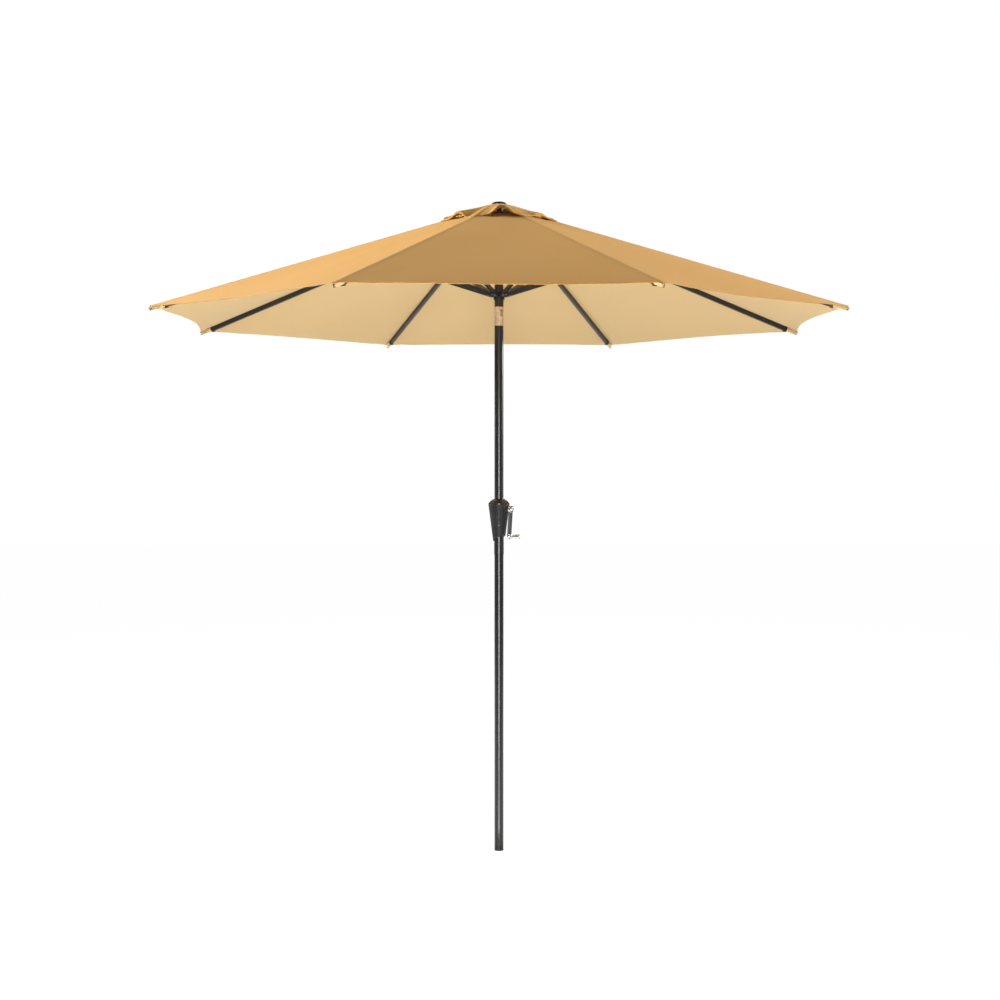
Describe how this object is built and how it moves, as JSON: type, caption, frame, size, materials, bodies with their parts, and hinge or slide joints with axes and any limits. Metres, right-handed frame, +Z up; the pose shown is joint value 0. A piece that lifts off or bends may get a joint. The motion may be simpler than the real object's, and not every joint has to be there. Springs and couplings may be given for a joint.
{
  "type": "patio umbrella",
  "caption": "Crank-lift, tilting patio umbrella: vented octagonal canopy on folding ribs and struts, on a slim two-piece pole.",
  "frame": {"origin": "centre of the flat lower end of the pole", "axes": "+Z up along the pole; one canopy panel faces -Y, the front, and another faces +X"},
  "size_m": [2.496, 2.496, 2.511],
  "materials": {
    "pole_enamel": "semi-gloss black powder coat",
    "rib_enamel": "satin black powder coat",
    "black_plastic": "moulded black plastic, satin",
    "gloss_black_plastic": "moulded black plastic, gloss",
    "crank_chrome": "polished chrome plate",
    "tan_plastic": "moulded tan plastic, satin",
    "spring_steel": "bright zinc plate",
    "canopy_cloth": "plain-weave polyester, sand",
    "cord": "braided polyester cord"
  },
  "bodies": {
    "pole": {"lower_pole": "pole_enamel", "foot_plug": "black_plastic", "upper_pole": "pole_enamel", "coupling_tube": "spring_steel", "joint_sleeve": "pole_enamel", "lock_spring": "spring_steel", "crank_housing": "black_plastic", "housing_cap": "gloss_black_plastic", "housing_screws": "rib_enamel", "crank_bush": "black_plastic", "brake_spring": "spring_steel", "tilt_socket": "tan_plastic", "tilt_pins": "spring_steel", "tilt_button_spring": "spring_steel", "lift_cord_lower": "cord"},
    "lock_button": {"lock_button": "rib_enamel"},
    "crank": {"crank_shaft": "crank_chrome", "winding_drum": "spring_steel", "crank_arm": "crank_chrome", "knob_pin": "spring_steel"},
    "knob": {"crank_knob": "crank_chrome"},
    "tilt_button": {"tilt_button": "spring_steel"},
    "head": {"tilt_head": "tan_plastic", "top_tube": "pole_enamel", "top_hub": "black_plastic", "hub_pins": "spring_steel", "pulley_pin": "spring_steel", "cap_washer": "black_plastic", "finial": "black_plastic", "vent_cap": "canopy_cloth", "lift_cord_upper": "cord"},
    "pulley": {"hub_pulley": "spring_steel"},
    "runner": {"runner": "black_plastic", "runner_pins": "spring_steel"},
    "rib_1": {"rib_1": "rib_enamel", "canopy_gore_1": "canopy_cloth"},
    "strut_1": {"strut_1": "rib_enamel"},
    "rib_2": {"rib_2": "rib_enamel", "canopy_gore_2": "canopy_cloth"},
    "strut_2": {"strut_2": "rib_enamel"},
    "rib_3": {"rib_3": "rib_enamel", "canopy_gore_3": "canopy_cloth"},
    "strut_3": {"strut_3": "rib_enamel"},
    "rib_4": {"rib_4": "rib_enamel", "canopy_gore_4": "canopy_cloth"},
    "strut_4": {"strut_4": "rib_enamel"},
    "rib_5": {"rib_5": "rib_enamel", "canopy_gore_5": "canopy_cloth"},
    "strut_5": {"strut_5": "rib_enamel"},
    "rib_6": {"rib_6": "rib_enamel", "canopy_gore_6": "canopy_cloth"},
    "strut_6": {"strut_6": "rib_enamel"},
    "rib_7": {"rib_7": "rib_enamel", "canopy_gore_7": "canopy_cloth"},
    "strut_7": {"strut_7": "rib_enamel"},
    "rib_8": {"rib_8": "rib_enamel", "canopy_gore_8": "canopy_cloth"},
    "strut_8": {"strut_8": "rib_enamel"}
  },
  "joints": [
    {"name": "canopy_fold", "type": "hinge", "parent": "head", "child": "rib_1", "pos_m": [0.03049, 0.01263, 2.455], "axis": [-0.3827, 0.9239, 0], "range_deg": [0, 67.5], "deforming": ["canopy_gore_1", "canopy_gore_2", "canopy_gore_3", "canopy_gore_4", "canopy_gore_5", "canopy_gore_6", "canopy_gore_7", "canopy_gore_8", "vent_cap", "lift_cord_upper"]},
    {"name": "rib_2_hinge", "type": "hinge", "parent": "head", "child": "rib_2", "pos_m": [0.01263, 0.03049, 2.455], "axis": [-0.9239, 0.3827, 0], "range_deg": [0, 67.5]},
    {"name": "rib_3_hinge", "type": "hinge", "parent": "head", "child": "rib_3", "pos_m": [-0.01263, 0.03049, 2.455], "axis": [-0.9239, -0.3827, 0], "range_deg": [0, 67.5]},
    {"name": "rib_4_hinge", "type": "hinge", "parent": "head", "child": "rib_4", "pos_m": [-0.03049, 0.01263, 2.455], "axis": [-0.3827, -0.9239, 0], "range_deg": [0, 67.5]},
    {"name": "rib_5_hinge", "type": "hinge", "parent": "head", "child": "rib_5", "pos_m": [-0.03049, -0.01263, 2.455], "axis": [0.3827, -0.9239, 0], "range_deg": [0, 67.5]},
    {"name": "rib_6_hinge", "type": "hinge", "parent": "head", "child": "rib_6", "pos_m": [-0.01263, -0.03049, 2.455], "axis": [0.9239, -0.3827, 0], "range_deg": [0, 67.5]},
    {"name": "rib_7_hinge", "type": "hinge", "parent": "head", "child": "rib_7", "pos_m": [0.01263, -0.03049, 2.455], "axis": [0.9239, 0.3827, 0], "range_deg": [0, 67.5]},
    {"name": "rib_8_hinge", "type": "hinge", "parent": "head", "child": "rib_8", "pos_m": [0.03049, -0.01263, 2.455], "axis": [0.3827, 0.9239, 0], "range_deg": [0, 67.5]},
    {"name": "strut_1_hinge", "type": "hinge", "parent": "rib_1", "child": "strut_1", "pos_m": [0.46054, 0.19076, 2.30196], "axis": [-0.3827, 0.9239, 0], "range_deg": [-135, 0]},
    {"name": "strut_2_hinge", "type": "hinge", "parent": "rib_2", "child": "strut_2", "pos_m": [0.19076, 0.46054, 2.30196], "axis": [-0.9239, 0.3827, 0], "range_deg": [-135, 0]},
    {"name": "strut_3_hinge", "type": "hinge", "parent": "rib_3", "child": "strut_3", "pos_m": [-0.19076, 0.46054, 2.30196], "axis": [-0.9239, -0.3827, 0], "range_deg": [-135, 0]},
    {"name": "strut_4_hinge", "type": "hinge", "parent": "rib_4", "child": "strut_4", "pos_m": [-0.46054, 0.19076, 2.30196], "axis": [-0.3827, -0.9239, 0], "range_deg": [-135, 0]},
    {"name": "strut_5_hinge", "type": "hinge", "parent": "rib_5", "child": "strut_5", "pos_m": [-0.46054, -0.19076, 2.30196], "axis": [0.3827, -0.9239, 0], "range_deg": [-135, 0]},
    {"name": "strut_6_hinge", "type": "hinge", "parent": "rib_6", "child": "strut_6", "pos_m": [-0.19076, -0.46054, 2.30196], "axis": [0.9239, -0.3827, 0], "range_deg": [-135, 0]},
    {"name": "strut_7_hinge", "type": "hinge", "parent": "rib_7", "child": "strut_7", "pos_m": [0.19076, -0.46054, 2.30196], "axis": [0.9239, 0.3827, 0], "range_deg": [-135, 0]},
    {"name": "strut_8_hinge", "type": "hinge", "parent": "rib_8", "child": "strut_8", "pos_m": [0.46054, -0.19076, 2.30196], "axis": [0.3827, 0.9239, 0], "range_deg": [-135, 0]},
    {"name": "runner_hinge", "type": "hinge", "parent": "strut_1", "child": "runner", "pos_m": [0.03049, 0.01263, 2.14891], "axis": [-0.3827, 0.9239, 0], "range_deg": [0, 67.5]},
    {"name": "crank_spin", "type": "hinge", "parent": "pole", "child": "crank", "pos_m": [0, 0, 1.32], "axis": [0.866, -0.5, 0], "range_deg": [0, 3960]},
    {"name": "pulley_spin", "type": "hinge", "parent": "head", "child": "pulley", "pos_m": [0, 0.0115, 2.459], "axis": [-1, 0, 0], "range_deg": [0, 3808]},
    {"name": "knob_spin", "type": "hinge", "parent": "crank", "child": "knob", "pos_m": [0.05196, -0.03, 1.215], "axis": [0.866, -0.5, 0], "continuous": true},
    {"name": "canopy_tilt", "type": "hinge", "parent": "pole", "child": "head", "pos_m": [0, 0, 2.079], "axis": [-0.5, -0.866, 0], "range_deg": [-40, 0]},
    {"name": "tilt_button_press", "type": "slide", "parent": "pole", "child": "tilt_button", "axis": [0.5, 0.866, 0], "range_m": [0, 0.0025], "stiffness_N_per_m": 400, "springref_m": -0.002, "deforming": ["tilt_button_spring"]},
    {"name": "lock_button_press", "type": "slide", "parent": "pole", "child": "lock_button", "axis": [-0.2924, 0.9563, 0], "range_m": [0, 0.002], "stiffness_N_per_m": 500, "springref_m": -0.003, "deforming": ["lock_spring"]}
  ],
  "couplings": [
    {"joint": "rib_2_hinge", "follows": "canopy_fold", "ratio": 1},
    {"joint": "rib_3_hinge", "follows": "canopy_fold", "ratio": 1},
    {"joint": "rib_4_hinge", "follows": "canopy_fold", "ratio": 1},
    {"joint": "rib_5_hinge", "follows": "canopy_fold", "ratio": 1},
    {"joint": "rib_6_hinge", "follows": "canopy_fold", "ratio": 1},
    {"joint": "rib_7_hinge", "follows": "canopy_fold", "ratio": 1},
    {"joint": "rib_8_hinge", "follows": "canopy_fold", "ratio": 1},
    {"joint": "strut_1_hinge", "follows": "canopy_fold", "ratio": -2},
    {"joint": "strut_2_hinge", "follows": "canopy_fold", "ratio": -2},
    {"joint": "strut_3_hinge", "follows": "canopy_fold", "ratio": -2},
    {"joint": "strut_4_hinge", "follows": "canopy_fold", "ratio": -2},
    {"joint": "strut_5_hinge", "follows": "canopy_fold", "ratio": -2},
    {"joint": "strut_6_hinge", "follows": "canopy_fold", "ratio": -2},
    {"joint": "strut_7_hinge", "follows": "canopy_fold", "ratio": -2},
    {"joint": "strut_8_hinge", "follows": "canopy_fold", "ratio": -2},
    {"joint": "runner_hinge", "follows": "canopy_fold", "ratio": 1},
    {"joint": "crank_spin", "follows": "canopy_fold", "ratio": 58.667},
    {"joint": "pulley_spin", "follows": "canopy_fold", "ratio": 56.405}
  ]
}
